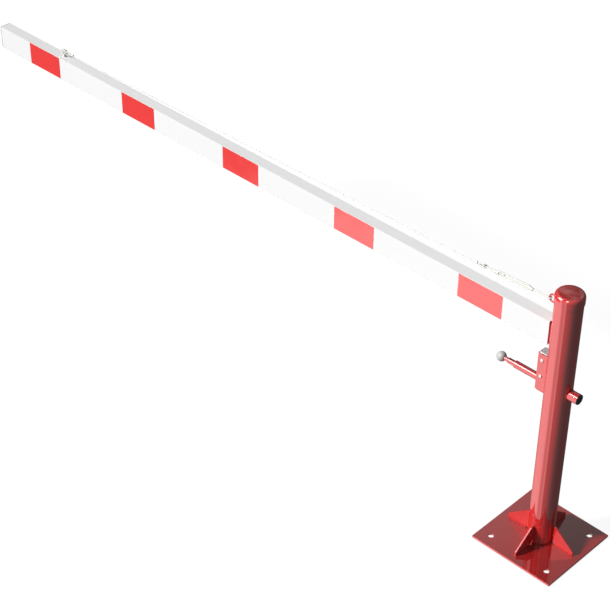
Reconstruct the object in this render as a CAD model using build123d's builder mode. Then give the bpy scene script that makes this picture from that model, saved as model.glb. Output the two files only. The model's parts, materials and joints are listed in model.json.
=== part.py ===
from build123d import *
import os
from math import asin, atan2, cos, hypot, pi, radians, sin, sqrt, tan

os.makedirs("parts", exist_ok=True)

# A horizontally swinging traffic barrier.  Millimetres, +Z up.  The origin is on the
# post's axis at the underside of the base plate, and the boom points along -X.

# ---------------------------------------------------------------- driving dimensions
plate_side = 360.0
plate_thickness = 8.0
plate_corner = 2.0
plate_edge_break = 0.8
bolt_spacing = 260.0
bolt_hole_radius = 11.0

post_radius = 50.8
post_wall = 3.6
socket_top = 96.0
mast_gap = 0.6
mast_top = 1108.0
pivot_radius = 44.45
pivot_wall = 3.2
pivot_top = 1066.0
running_gap = 0.05

gusset_count = 4
gusset_thickness = 6.0
gusset_reach = 150.0
gusset_tip_height = 16.0
gusset_shoulder_reach = 66.0
gusset_top = 92.0
gusset_notch = 17.0

bush_length = 40.0
upper_bush_bottom = 1010.0
thrust_thickness = 4.0
disc_thickness = 8.0
thrust_radius = 40.0

cap_radius = 53.3
cap_bottom = 1090.0
cap_shoulder = 1113.0
cap_knuckle_radius = 17.0
cap_knuckle_turn = 78.0
cap_wall = 2.5

boom_length = 3020.0
boom_height = 100.0
boom_width = 50.0
boom_wall = 3.0
boom_corner = 0.6
boom_root = -53.0
boom_bottom = 891.2
film_count = 5
film_length = 200.0
film_height = 98.6
film_thickness = 0.3
film_pitch = 604.8
film_first = -2873.6
end_plug_flange = 5.0
end_plug_depth = 25.0
end_plug_wall = 3.0
end_plug_slack = 0.4

arm_height = 90.0
arm_width = 40.0
arm_wall = 4.0
arm_end = -380.0
arm_screw_places = [-150.0, -300.0]
arm_screw_radius = 5.0
arm_screw_clearance = 5.5
arm_screw_proud = 3.0
arm_head_flats = 16.0
arm_head_height = 6.4
arm_nut_flats = 17.0
arm_nut_height = 8.0
arm_washer_radius = 10.0
arm_washer_height = 2.0

stay_eye_x = -65.5
stay_eye_z = 1070.0
stay_eye_mid_radius = 15.25
stay_eye_wire_radius = 3.25

rope_radius = 2.0
eye_bolt_x = -2669.0
eye_bolt_z = 1015.3
eye_bolt_mid_radius = 11.0
eye_bolt_wire_radius = 2.5
eye_collar_radius = 8.0
eye_collar_height = 3.5
eye_neck_radius = 4.0
eye_nut_radius = 5.5
eye_nut_depth = 16.0
eye_flange_radius = 7.0
eye_flange_height = 1.0
knee_x = -361.0
knee_z = 1054.2
hook_x = -80.75
hook_z = 1066.4
thimble_inner_radius = 5.0
thimble_wall = 1.0
thimble_width = 5.6
thimble_length = 17.0
thimble_tip_gap = 0.2
link_gap = 0.9
loop_reach = 22.0
nose_gap = 1.0
strand_gap = 0.05
route_ease = 0.98
knee_radius = 18.0
throat_length = 3.0
ferrule_length = 13.0
ferrule_wall = 1.6
shackle_mid_radius = 7.5
shackle_wire_radius = 2.5
shackle_ear_radius = 5.0
shackle_ear_thickness = 5.6
shackle_pin_head = 2.5
shackle_pin_head_radius = 4.25
shackle_pin_proud = 1.0
shackle_clearance = 0.3

turnbuckle_rod_radius = 3.0
turnbuckle_eye_mid_radius = 7.75
turnbuckle_eye_wire_radius = 2.25
frame_start = 45.0
frame_length = 160.0
frame_bar_spacing = 15.5
frame_bar = 5.0
frame_boss_radius = 5.5
frame_boss_length = 16.0
frame_taper = 12.0
frame_window_corner = 3.0
frame_edge_round = 1.6
rod_in_window = 24.0
jam_nut_flats = 10.0
jam_nut_height = 5.0
hook_wire_radius = 2.5
hook_bend_radius = 6.15
hook_side = 6.75
hook_crank_radius = 4.0
hook_neck_setback = 14.0
hook_crank_setback = 8.5
hook_flank_setback = 3.0
hook_tip_setback = 6.0
hook_contact_gap = 0.4

lock_height = 716.0
index_hole_radius = 8.5
housing_side = 40.0
housing_depth = 44.0
housing_wall = 3.0
housing_outer_x = -88.0
housing_bottom = 677.0
housing_top = 838.5
housing_cut_width = 12.0
housing_cut_height = 5.5
block_top = 841.0
block_bottom = 700.0
block_gap = 0.7
block_edge_break = 0.8
lock_bolt_x = -68.0
lock_bolt_heights = [743.0, 812.0]
lock_bolt_radius = 4.0
lock_bolt_hole_radius = 4.2
lock_bolt_proud = 2.0
lock_head_radius = 6.8
lock_head_height = 4.2
lock_head_taper = 18.0
lock_head_round = 2.4
lock_washer_radius = 8.0
lock_washer_height = 1.6
lock_nut_flats = 13.0
lock_nut_length = 6.5

guide_radius = 14.0
guide_bore = 10.5
guide_length = 104.0
bush_outer_end = -223.0
bush_inner_end = -176.0
guide_screw_x = -210.0
tube_screw_x = -135.0
tube_screw_turn = 60.0
guide_bush_chamfer = 0.8
set_screw_radius = 4.0
set_screw_sink = 0.5
set_screw_key = 2.0
dog_radius = 2.75
dog_step_gap = 0.3

plunger_radius = 8.0
plunger_tip = -46.5
plunger_travel = 12.0
plunger_tip_chamfer = 2.0
plunger_shoulder_x = -101.0
plunger_shoulder_length = 3.5
plunger_shoulder_radius = 10.2
plunger_groove_depth = 2.0
plunger_groove_gap = 0.4
knob_radius = 19.0
knob_centre = -254.7
knob_flat_share = 0.91
knob_stud_radius = 6.0
knob_stud_depth = 24.0
spring_mid_radius = 9.25
spring_wire_radius = 0.8
spring_turns = 14
spring_end_gap = 0.1

stub_radius = 20.0
stub_wall = 3.0
stub_end = 88.0
stub_plug_face = 3.0
stub_plug_radius = 19.4
stub_plug_depth = 18.0
stub_plug_round = 1.2

# ---------------------------------------------------------------- derived values
boom_top = boom_bottom + boom_height
boom_middle = boom_bottom + boom_height / 2
boom_tip = boom_root - boom_length
bore_radius = post_radius - post_wall
mast_bottom = socket_top + mast_gap
bush_radius = bore_radius - running_gap
thrust_top = pivot_top + thrust_thickness
plunger_bore = plunger_radius + running_gap
arm_bottom = boom_bottom + boom_wall
cap_knuckle_middle = cap_radius - cap_knuckle_radius
cap_dome_radius = cap_knuckle_radius + cap_knuckle_middle / cos(radians(cap_knuckle_turn))
cap_dome_middle = cap_shoulder - cap_knuckle_middle * tan(radians(cap_knuckle_turn))
cap_crown = cap_dome_middle + cap_dome_radius


def keep(piece, node):
    """Label a finished piece and write it to a STEP file of its own."""
    piece.part.label = node
    export_step(piece.part, f"parts/{node}.step")


def facing_boom(x, z):
    """A plane across the boom's length that faces the boom's tip, its local Y up."""
    return Plane(origin=(x, 0, z), x_dir=(0, -1, 0), z_dir=(-1, 0, 0))


def facing_away(x, z):
    """A plane across the boom's length that faces away from its tip, its local Y up."""
    return Plane(origin=(x, 0, z), x_dir=(0, 1, 0), z_dir=(1, 0, 0))


def ring(plane, outer_radius, inner_radius, length):
    """A plain round sleeve that stands on a plane."""
    with BuildPart() as sleeve:
        with BuildSketch(plane):
            Circle(outer_radius)
            Circle(inner_radius, mode=Mode.SUBTRACT)
        extrude(amount=length)
    return sleeve


def cut_post():
    """Take the post's outside away from the piece that is being made."""
    with BuildSketch(Plane.XY) as post_outline:
        Circle(post_radius)
    extrude(post_outline.sketch, amount=cap_crown, mode=Mode.SUBTRACT)


# ---------------------------------------------------------------- fixed foot
with BuildPart() as base_plate:
    with BuildSketch(Plane.XY):
        RectangleRounded(plate_side, plate_side, plate_corner)
        with GridLocations(bolt_spacing, bolt_spacing, 2, 2):
            Circle(bolt_hole_radius, mode=Mode.SUBTRACT)
    extrude(amount=plate_thickness)
    upper_face = base_plate.faces().sort_by(Axis.Z)[-1]
    chamfer(upper_face.outer_wire().edges(), plate_edge_break)
keep(base_plate, "base_plate")

socket_height = socket_top - plate_thickness
base_socket = ring(Plane.XY.offset(plate_thickness), post_radius, pivot_radius, socket_height)
keep(base_socket, "base_socket")

for number in range(gusset_count):
    turn = radians(90 * number)
    outwards = (cos(turn), sin(turn), 0)
    sideways = (sin(turn), -cos(turn), 0)
    gusset_base = plate_thickness
    with BuildPart() as gusset:
        with BuildSketch(Plane(origin=(0, 0, 0), x_dir=outwards, z_dir=sideways)):
            with BuildLine():
                Polyline(
                    (pivot_radius, gusset_base + gusset_notch),
                    (post_radius, gusset_base + gusset_notch),
                    (post_radius + gusset_notch, gusset_base),
                    (gusset_reach, gusset_base),
                    (gusset_reach, gusset_base + gusset_tip_height),
                    (gusset_shoulder_reach, gusset_top),
                    (pivot_radius, gusset_top),
                    close=True,
                )
            make_face()
        extrude(amount=gusset_thickness / 2, both=True)
        cut_post()
    keep(gusset, f"gusset_{number + 1}")

# The pivot tube stands inside the socket and carries the index holes of the lock.
with BuildPart() as pivot_tube:
    with BuildSketch(Plane.XY.offset(plate_thickness)):
        Circle(pivot_radius)
        Circle(pivot_radius - pivot_wall, mode=Mode.SUBTRACT)
    extrude(amount=pivot_top - plate_thickness)
    for index_direction in [(-1, 0, 0), (0, -1, 0), (0, 1, 0)]:
        with BuildSketch(Plane(origin=(0, 0, lock_height), z_dir=index_direction)):
            Circle(index_hole_radius)
        extrude(amount=post_radius, mode=Mode.SUBTRACT)
keep(pivot_tube, "pivot_tube")

pivot_disc_plane = Plane.XY.offset(pivot_top - disc_thickness)
with BuildPart() as pivot_top_plate:
    with BuildSketch(pivot_disc_plane):
        Circle(pivot_radius - pivot_wall)
    extrude(amount=disc_thickness)
keep(pivot_top_plate, "pivot_top_plate")

lower_bush = ring(Plane.XY.offset(socket_top), bush_radius, pivot_radius, bush_length)
keep(lower_bush, "lower_bush")

upper_bush = ring(Plane.XY.offset(upper_bush_bottom), bush_radius, pivot_radius, bush_length)
keep(upper_bush, "upper_bush")

with BuildPart() as thrust_washer:
    with BuildSketch(Plane.XY.offset(pivot_top)):
        Circle(thrust_radius)
    extrude(amount=thrust_thickness)
keep(thrust_washer, "thrust_washer")

# ---------------------------------------------------------------- swinging mast
with BuildPart() as mast_tube:
    with BuildSketch(Plane.XY.offset(mast_bottom)):
        Circle(post_radius)
        Circle(bore_radius, mode=Mode.SUBTRACT)
    extrude(amount=mast_top - mast_bottom)
    with BuildSketch(facing_boom(0, lock_height)):
        Circle(index_hole_radius)
    extrude(amount=post_radius, both=True, mode=Mode.SUBTRACT)
keep(mast_tube, "mast_tube")

with BuildPart() as bearing_plate:
    with BuildSketch(Plane.XY.offset(thrust_top)):
        Circle(bore_radius)
    extrude(amount=disc_thickness)
keep(bearing_plate, "bearing_plate")

with BuildPart() as mast_cap:
    with BuildSketch(Plane.XZ):
        with BuildLine():
            Line((0, mast_top), (post_radius, mast_top))
            Line((post_radius, mast_top), (post_radius, cap_bottom))
            Line((post_radius, cap_bottom), (cap_radius, cap_bottom))
            Line((cap_radius, cap_bottom), (cap_radius, cap_shoulder))
            CenterArc((cap_knuckle_middle, cap_shoulder), cap_knuckle_radius, 0, cap_knuckle_turn)
            CenterArc((0, cap_dome_middle), cap_dome_radius, cap_knuckle_turn, 90 - cap_knuckle_turn)
            Line((0, cap_crown), (0, mast_top))
        make_face()
    revolve(axis=Axis.Z)
    with BuildSketch(Plane.XZ):
        with BuildLine():
            Polyline(
                (0, mast_top),
                (post_radius - cap_wall, mast_top),
                (post_radius - cap_wall, cap_shoulder),
                (cap_knuckle_middle, cap_shoulder + cap_knuckle_radius - cap_wall),
                (0, cap_crown - cap_wall),
                close=True,
            )
        make_face()
    revolve(axis=Axis.Z, mode=Mode.SUBTRACT)
keep(mast_cap, "mast_cap")

with BuildPart() as stay_eye:
    with Locations(Plane(origin=(stay_eye_x, 0, stay_eye_z), z_dir=(0, 1, 0))):
        Torus(stay_eye_mid_radius, stay_eye_wire_radius)
    cut_post()
keep(stay_eye, "stay_eye")

# ---------------------------------------------------------------- boom and its arm
with BuildPart() as boom_arm:
    with BuildSketch(facing_boom(0, arm_bottom + arm_height / 2)):
        RectangleRounded(arm_width, arm_height, arm_wall)
        Rectangle(arm_width - 2 * arm_wall, arm_height - 2 * arm_wall, mode=Mode.SUBTRACT)
    extrude(amount=-arm_end)
    cut_post()
    with BuildSketch(Plane.XY.offset(arm_bottom)):
        for place in arm_screw_places:
            with Locations((place, 0)):
                Circle(arm_screw_clearance)
    extrude(amount=arm_wall, mode=Mode.SUBTRACT)
keep(boom_arm, "boom_arm")

with BuildPart() as boom_profile:
    with BuildSketch(facing_boom(boom_root, boom_middle)):
        RectangleRounded(boom_width, boom_height, boom_corner)
        Rectangle(boom_width - 2 * boom_wall, boom_height - 2 * boom_wall, mode=Mode.SUBTRACT)
    extrude(amount=boom_length)
    with BuildSketch(Plane.XY.offset(boom_bottom)):
        for place in arm_screw_places:
            with Locations((place, 0)):
                Circle(arm_screw_clearance)
    extrude(amount=boom_wall, mode=Mode.SUBTRACT)
    with BuildSketch(Plane.XY.offset(boom_top - boom_wall)):
        with Locations((eye_bolt_x, 0)):
            Circle(eye_nut_radius)
    extrude(amount=boom_wall, mode=Mode.SUBTRACT)
keep(boom_profile, "boom_profile")

plug_width = boom_width - 2 * boom_wall - end_plug_slack
plug_height = boom_height - 2 * boom_wall - end_plug_slack
with BuildPart() as boom_end_plug:
    with BuildSketch(facing_boom(boom_tip, boom_middle)):
        RectangleRounded(boom_width, boom_height, 2 * boom_corner)
    extrude(amount=end_plug_flange)
    outer_rim = boom_end_plug.faces().sort_by(Axis.X)[0].outer_wire().edges()
    fillet(outer_rim, boom_corner)
    with BuildSketch(facing_away(boom_tip, boom_middle)):
        Rectangle(plug_width, plug_height)
        Rectangle(plug_width - 2 * end_plug_wall, plug_height - 2 * end_plug_wall, mode=Mode.SUBTRACT)
        Rectangle(end_plug_wall, plug_height)
    extrude(amount=end_plug_depth)
keep(boom_end_plug, "boom_end_plug")

face_offset = boom_width / 2
for number in range(film_count):
    film_start = film_first + number * film_pitch
    film_centre = film_start + film_length / 2
    for side_name, side in [("front", -1), ("back", 1)]:
        film_plane = Plane(
            origin=(film_centre, side * face_offset, boom_middle),
            x_dir=(1, 0, 0),
            z_dir=(0, side, 0),
        )
        with BuildPart() as film:
            with BuildSketch(film_plane):
                Rectangle(film_length, film_height)
            extrude(amount=film_thickness)
        keep(film, f"film_{side_name}_{number + 1}")

arm_floor = arm_bottom + arm_wall
arm_head_top = boom_bottom - arm_washer_height

with BuildPart() as arm_nuts:
    with BuildSketch(Plane.XY.offset(arm_floor)):
        for place in arm_screw_places:
            with Locations((place, 0)):
                RegularPolygon(arm_nut_flats / 2, 6, major_radius=False)
                Circle(arm_screw_radius, mode=Mode.SUBTRACT)
    extrude(amount=arm_nut_height)
keep(arm_nuts, "arm_nuts")

with BuildPart() as arm_washers:
    with BuildSketch(Plane.XY.offset(arm_head_top)):
        for place in arm_screw_places:
            with Locations((place, 0)):
                Circle(arm_washer_radius)
                Circle(arm_screw_radius, mode=Mode.SUBTRACT)
    extrude(amount=arm_washer_height)
keep(arm_washers, "arm_washers")

with BuildPart() as arm_screws:
    with BuildSketch(Plane.XY.offset(arm_head_top - arm_head_height)):
        for place in arm_screw_places:
            with Locations((place, 0)):
                RegularPolygon(arm_head_flats / 2, 6, major_radius=False)
    extrude(amount=arm_head_height)
    with BuildSketch(Plane.XY.offset(arm_head_top)):
        for place in arm_screw_places:
            with Locations((place, 0)):
                Circle(arm_screw_radius)
    extrude(amount=arm_floor + arm_nut_height + arm_screw_proud - arm_head_top)
keep(arm_screws, "arm_screws")

# ---------------------------------------------------------------- wire stay
# The stay lies in the plane y = 0.  Its rope climbs from the eye bolt on the boom to the
# turnbuckle's eye, and the turnbuckle pulls a little steeper on to the mast's eye.  Each
# loop of the rope is even about the line of pull, so the main run lies a strand below it.
eye_inner_edge = eye_bolt_x + eye_bolt_mid_radius - eye_bolt_wire_radius
eye_outer_edge = eye_bolt_x + eye_bolt_mid_radius + eye_bolt_wire_radius
pin_x = eye_inner_edge - shackle_wire_radius - shackle_clearance
rope_slope = atan2(knee_z - eye_bolt_z, knee_x - pin_x)
rope_span = hypot(knee_z - eye_bolt_z, knee_x - pin_x)
strain_slope = atan2(hook_z - knee_z, hook_x - knee_x)
strain_span = hypot(hook_z - knee_z, hook_x - knee_x)


def along(x, z, slope):
    """A plane in y = 0 with its local X along a line of the stay and its local Y upwards."""
    return Plane(origin=(x, 0, z), x_dir=(cos(slope), 0, sin(slope)), z_dir=(0, -1, 0))


def level(x, z, slope):
    """A plane that holds a line of the stay and the Y axis, its local X along the line."""
    return Plane(origin=(x, 0, z), x_dir=(cos(slope), 0, sin(slope)), z_dir=(-sin(slope), 0, cos(slope)))


def across(x, z, slope, distance):
    """A plane across a line of the stay, some way along it, its local Y upwards."""
    origin = (x + distance * cos(slope), 0, z + distance * sin(slope))
    return Plane(origin=origin, x_dir=(0, 1, 0), z_dir=(cos(slope), 0, sin(slope)))


rope_plane = along(pin_x, eye_bolt_z, rope_slope)
pull_plane = along(knee_x, knee_z, strain_slope)
pull_level = level(knee_x, knee_z, strain_slope)

with BuildPart() as eye_nut:
    with BuildSketch(Plane.XY.offset(boom_top - eye_nut_depth)):
        with Locations((eye_bolt_x, 0)):
            Circle(eye_nut_radius)
            Circle(eye_neck_radius, mode=Mode.SUBTRACT)
    extrude(amount=eye_nut_depth)
    with BuildSketch(Plane.XY.offset(boom_top)):
        with Locations((eye_bolt_x, 0)):
            Circle(eye_flange_radius)
            Circle(eye_neck_radius, mode=Mode.SUBTRACT)
    extrude(amount=eye_flange_height)
keep(eye_nut, "eye_nut")

eye_collar_bottom = boom_top + eye_flange_height
eye_ring_bottom = eye_bolt_z - eye_bolt_mid_radius
with BuildPart() as eye_bolt:
    with BuildSketch(Plane.XY.offset(boom_top - eye_nut_depth)):
        with Locations((eye_bolt_x, 0)):
            Circle(eye_neck_radius)
    extrude(amount=eye_ring_bottom - boom_top + eye_nut_depth)
    with BuildSketch(Plane.XY.offset(eye_collar_bottom)):
        with Locations((eye_bolt_x, 0)):
            Circle(eye_collar_radius)
    extrude(amount=eye_collar_height)
    with Locations(Plane(origin=(eye_bolt_x, 0, eye_bolt_z), z_dir=(0, 1, 0))):
        Torus(eye_bolt_mid_radius, eye_bolt_wire_radius)
keep(eye_bolt, "eye_bolt")

# Places along the rope: the middles of the two noses that its end loops go round.
nose_radius = thimble_inner_radius + thimble_wall + rope_radius
low_nose = eye_outer_edge + nose_gap - pin_x + nose_radius + rope_radius
eye_rod_edge = rope_span - turnbuckle_eye_mid_radius + turnbuckle_eye_wire_radius
high_nose = eye_rod_edge - thimble_inner_radius + link_gap
bow_reach = low_nose - thimble_inner_radius + link_gap + shackle_wire_radius
strand_offset = rope_radius + strand_gap
tail_length = throat_length + ferrule_length

with BuildPart() as shackle:
    with BuildLine(level(pin_x, eye_bolt_z, rope_slope)):
        bow_start = bow_reach - shackle_mid_radius
        Line((0, -shackle_mid_radius), (bow_start, -shackle_mid_radius))
        CenterArc((bow_start, 0), shackle_mid_radius, -90, 180)
        Line((bow_start, shackle_mid_radius), (0, shackle_mid_radius))
    with BuildSketch(across(pin_x, eye_bolt_z, rope_slope, 0)):
        with Locations((-shackle_mid_radius, 0)):
            Circle(shackle_wire_radius)
    sweep()
    ear_side = Plane(origin=(pin_x, 0, eye_bolt_z), z_dir=(0, 1, 0))
    for ear_middle in [-shackle_mid_radius, shackle_mid_radius]:
        with BuildSketch(ear_side.offset(ear_middle)):
            Circle(shackle_ear_radius)
        extrude(amount=shackle_ear_thickness / 2, both=True)
    pin_hole_reach = shackle_mid_radius + shackle_ear_thickness
    with BuildSketch(ear_side):
        Circle(shackle_wire_radius)
    extrude(amount=pin_hole_reach, both=True, mode=Mode.SUBTRACT)
keep(shackle, "shackle")

pin_half = shackle_mid_radius + shackle_ear_thickness / 2
with BuildPart() as shackle_pin:
    with BuildSketch(ear_side.offset(-pin_half)):
        Circle(shackle_wire_radius)
    extrude(amount=2 * pin_half + shackle_pin_proud)
    with BuildSketch(ear_side.offset(-pin_half - shackle_pin_head)):
        Circle(shackle_pin_head_radius)
    extrude(amount=shackle_pin_head)
keep(shackle_pin, "shackle_pin")


def loop_corners(nose, throat):
    """The route's corners from the tail's end, round one nose and back to the main run."""
    away = 1 if nose > throat else -1
    reach = abs(nose - throat)
    lift = asin(nose_radius / hypot(reach, strand_offset)) - atan2(strand_offset, reach)
    top = strand_offset + tan(lift) * (reach + nose_radius)
    turn = nose + away * nose_radius
    return [
        (throat - away * tail_length, strand_offset),
        (throat, strand_offset),
        (turn, top),
        (turn, -top),
        (throat, -strand_offset),
    ]


low_throat = low_nose + loop_reach
high_throat = high_nose - loop_reach
bend_radius = route_ease * nose_radius
route = loop_corners(low_nose, low_throat) + loop_corners(high_nose, high_throat)[::-1]
route_radii = [knee_radius, bend_radius, bend_radius, knee_radius] * 2

with BuildPart() as stay_rope:
    with BuildLine(rope_plane) as rope_line:
        FilletPolyline(*route, radius=route_radii)
    tail_start = rope_line.line @ 0
    tail_direction = rope_line.line % 0
    with BuildSketch(Plane(origin=tail_start, z_dir=tail_direction)):
        Circle(rope_radius)
    sweep()
keep(stay_rope, "stay_rope")
rope_length = rope_line.wire().length
print("rope length", round(rope_length, 1), "bend radii", route_radii)
print("rope volume over section times length", stay_rope.part.volume / (rope_length * pi * rope_radius**2))

for node, nose, away in [("boom_thimble", low_nose, 1), ("strain_thimble", high_nose, -1)]:
    with BuildPart() as thimble:
        with BuildSketch(rope_plane):
            for radius, mode in [
                (thimble_inner_radius + thimble_wall, Mode.ADD),
                (thimble_inner_radius, Mode.SUBTRACT),
            ]:
                with BuildSketch(rope_plane, mode=mode):
                    with Locations((nose, 0)):
                        Circle(radius)
                    with Locations((nose + away * thimble_length, 0)):
                        Circle(radius - thimble_inner_radius + thimble_tip_gap)
                    make_hull()
        extrude(amount=thimble_width / 2, both=True)
    keep(thimble, node)

low_ferrule = low_throat + throat_length
high_ferrule = high_throat - throat_length - ferrule_length
ferrule_width = 2 * (rope_radius + ferrule_wall)
for node, start in [("boom_ferrule", low_ferrule), ("strain_ferrule", high_ferrule)]:
    with BuildPart() as ferrule:
        with BuildSketch(across(pin_x, eye_bolt_z, rope_slope, start)):
            SlotCenterToCenter(2 * strand_offset, ferrule_width, rotation=90)
            SlotCenterToCenter(2 * strand_offset, 2 * rope_radius, rotation=90, mode=Mode.SUBTRACT)
        extrude(amount=ferrule_length)
    keep(ferrule, node)

# Turnbuckle: an eye rod towards the rope, a hook rod towards the mast, an open frame.
frame_end = frame_start + frame_length
eye_rod_end = frame_start + frame_boss_length + rod_in_window
hook_rod_end = frame_end - frame_boss_length - rod_in_window
with BuildPart() as turnbuckle_eye_rod:
    with Locations(pull_level):
        Torus(turnbuckle_eye_mid_radius, turnbuckle_eye_wire_radius)
    with BuildSketch(across(knee_x, knee_z, strain_slope, turnbuckle_eye_mid_radius)):
        Circle(turnbuckle_rod_radius)
    extrude(amount=eye_rod_end - turnbuckle_eye_mid_radius)
keep(turnbuckle_eye_rod, "turnbuckle_eye_rod")

hook_back = strain_span + stay_eye_wire_radius + hook_contact_gap + hook_wire_radius
hook_neck = strain_span - hook_neck_setback
with BuildPart() as turnbuckle_hook_rod:
    with BuildLine(pull_level) as hook_line:
        FilletPolyline(
            (hook_neck, 0),
            (strain_span - hook_crank_setback, 0),
            (strain_span - hook_flank_setback, -hook_side),
            (hook_back, -hook_side),
            (hook_back, hook_side),
            (strain_span - hook_tip_setback, hook_side),
            radius=[hook_crank_radius, hook_crank_radius, hook_bend_radius, hook_bend_radius],
        )
    with BuildSketch(across(knee_x, knee_z, strain_slope, hook_neck)):
        Circle(hook_wire_radius)
    sweep()
    with BuildSketch(across(knee_x, knee_z, strain_slope, hook_rod_end)):
        Circle(turnbuckle_rod_radius)
    extrude(amount=hook_neck - hook_rod_end)
keep(turnbuckle_hook_rod, "turnbuckle_hook_rod")

with BuildPart() as turnbuckle_nuts:
    for start in [frame_start - jam_nut_height, frame_end]:
        with BuildSketch(across(knee_x, knee_z, strain_slope, start)):
            RegularPolygon(jam_nut_flats / 2, 6, major_radius=False)
            Circle(turnbuckle_rod_radius, mode=Mode.SUBTRACT)
        extrude(amount=jam_nut_height)
keep(turnbuckle_nuts, "turnbuckle_nuts")

half_height = (frame_bar_spacing + frame_bar) / 2
window_half = (frame_bar_spacing - frame_bar) / 2
with BuildPart() as turnbuckle_frame:
    with BuildSketch(pull_plane):
        with BuildLine():
            Polyline(
                (frame_start, frame_boss_radius),
                (frame_start + frame_taper, half_height),
                (frame_end - frame_taper, half_height),
                (frame_end, frame_boss_radius),
                (frame_end, -frame_boss_radius),
                (frame_end - frame_taper, -half_height),
                (frame_start + frame_taper, -half_height),
                (frame_start, -frame_boss_radius),
                close=True,
            )
        make_face()
        with Locations((frame_start + frame_length / 2, 0)):
            window_length = frame_length - 2 * frame_boss_length
            RectangleRounded(window_length, 2 * window_half, frame_window_corner, mode=Mode.SUBTRACT)
    extrude(amount=frame_bar / 2, both=True)
    long_edges = turnbuckle_frame.edges().filter_by(lambda edge: edge.length > frame_length / 2)
    fillet(long_edges, frame_edge_round)
    for start in [frame_start, frame_end - frame_boss_length]:
        with BuildSketch(across(knee_x, knee_z, strain_slope, start)):
            Circle(frame_boss_radius)
        extrude(amount=frame_boss_length)
    with BuildSketch(across(knee_x, knee_z, strain_slope, frame_start)):
        Circle(turnbuckle_rod_radius + running_gap)
    extrude(amount=frame_length, mode=Mode.SUBTRACT)
keep(turnbuckle_frame, "turnbuckle_frame")

# ---------------------------------------------------------------- lock on the mast
with BuildPart() as lock_housing:
    with BuildSketch(Plane.XY.offset(housing_bottom)):
        with Locations((housing_outer_x + housing_depth / 2, 0)):
            RectangleRounded(housing_depth, housing_side, housing_wall)
        with Locations((housing_outer_x + housing_depth / 2 + housing_wall, 0)):
            Rectangle(housing_depth, housing_side - 2 * housing_wall, mode=Mode.SUBTRACT)
    extrude(amount=housing_top - housing_bottom)
    cut_post()
    with BuildSketch(Plane.XZ):
        with BuildLine():
            Polyline(
                (housing_outer_x, housing_bottom),
                (housing_outer_x + housing_cut_width, housing_bottom),
                (housing_outer_x, housing_bottom + housing_cut_height),
                close=True,
            )
        make_face()
    extrude(amount=housing_side, both=True, mode=Mode.SUBTRACT)
    with BuildSketch(facing_boom(housing_outer_x + housing_depth / 2, lock_height)):
        Circle(guide_bore)
    extrude(amount=housing_depth, mode=Mode.SUBTRACT)
    for height in lock_bolt_heights:
        with BuildSketch(Plane(origin=(lock_bolt_x, 0, height), z_dir=(0, 1, 0))):
            Circle(lock_bolt_hole_radius)
        extrude(amount=housing_side, both=True, mode=Mode.SUBTRACT)
keep(lock_housing, "lock_housing")

block_left = housing_outer_x + housing_wall + block_gap
block_right = -post_radius - block_gap
block_width = housing_side - 2 * housing_wall - 2 * block_gap
with BuildPart() as lock_block:
    with BuildSketch(Plane.XY.offset(block_bottom)):
        with Locations(((block_left + block_right) / 2, 0)):
            Rectangle(block_right - block_left, block_width)
    extrude(amount=block_top - block_bottom)
    chamfer(lock_block.faces().sort_by(Axis.Z)[-1].edges(), block_edge_break)
    with BuildSketch(facing_boom(0, lock_height)):
        Circle(plunger_bore)
    extrude(amount=-housing_outer_x, mode=Mode.SUBTRACT)
    for height in lock_bolt_heights:
        with BuildSketch(Plane(origin=(lock_bolt_x, 0, height), z_dir=(0, 1, 0))):
            Circle(lock_bolt_hole_radius)
        extrude(amount=housing_side, both=True, mode=Mode.SUBTRACT)
keep(lock_block, "lock_block")

housing_side_face = housing_side / 2
shank_length = housing_side + lock_washer_height + lock_nut_length + lock_bolt_proud
with BuildPart() as lock_bolts:
    for height in lock_bolt_heights:
        front = Plane(origin=(lock_bolt_x, -housing_side_face, height), z_dir=(0, -1, 0))
        with BuildSketch(front):
            Circle(lock_head_radius)
        extrude(amount=lock_head_height, taper=lock_head_taper)
        with BuildSketch(front):
            Circle(lock_bolt_radius)
        extrude(amount=-shank_length)
    crown_edges = lock_bolts.edges().group_by(Axis.Y)[0]
    fillet(crown_edges, lock_head_round)
keep(lock_bolts, "lock_bolts")

with BuildPart() as lock_washers:
    for height in lock_bolt_heights:
        with BuildSketch(Plane(origin=(lock_bolt_x, housing_side_face, height), z_dir=(0, 1, 0))):
            Circle(lock_washer_radius)
            Circle(lock_bolt_radius, mode=Mode.SUBTRACT)
        extrude(amount=lock_washer_height)
keep(lock_washers, "lock_washers")

nut_face = housing_side_face + lock_washer_height
with BuildPart() as lock_nuts:
    for height in lock_bolt_heights:
        with BuildSketch(Plane(origin=(lock_bolt_x, nut_face, height), z_dir=(0, 1, 0))):
            RegularPolygon(lock_nut_flats / 2, 6, major_radius=False)
            Circle(lock_bolt_radius, mode=Mode.SUBTRACT)
        extrude(amount=lock_nut_length)
keep(lock_nuts, "lock_nuts")

tube_screw_aim = Vector(0, -sin(radians(tube_screw_turn)), -cos(radians(tube_screw_turn)))
with BuildPart() as guide_tube:
    with BuildSketch(facing_boom(housing_outer_x, lock_height)):
        Circle(guide_radius)
        Circle(guide_bore, mode=Mode.SUBTRACT)
    extrude(amount=guide_length)
    with BuildSketch(Plane(origin=(tube_screw_x, 0, lock_height), z_dir=tube_screw_aim)):
        Circle(set_screw_radius)
    extrude(amount=guide_radius, mode=Mode.SUBTRACT)
keep(guide_tube, "guide_tube")

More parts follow.
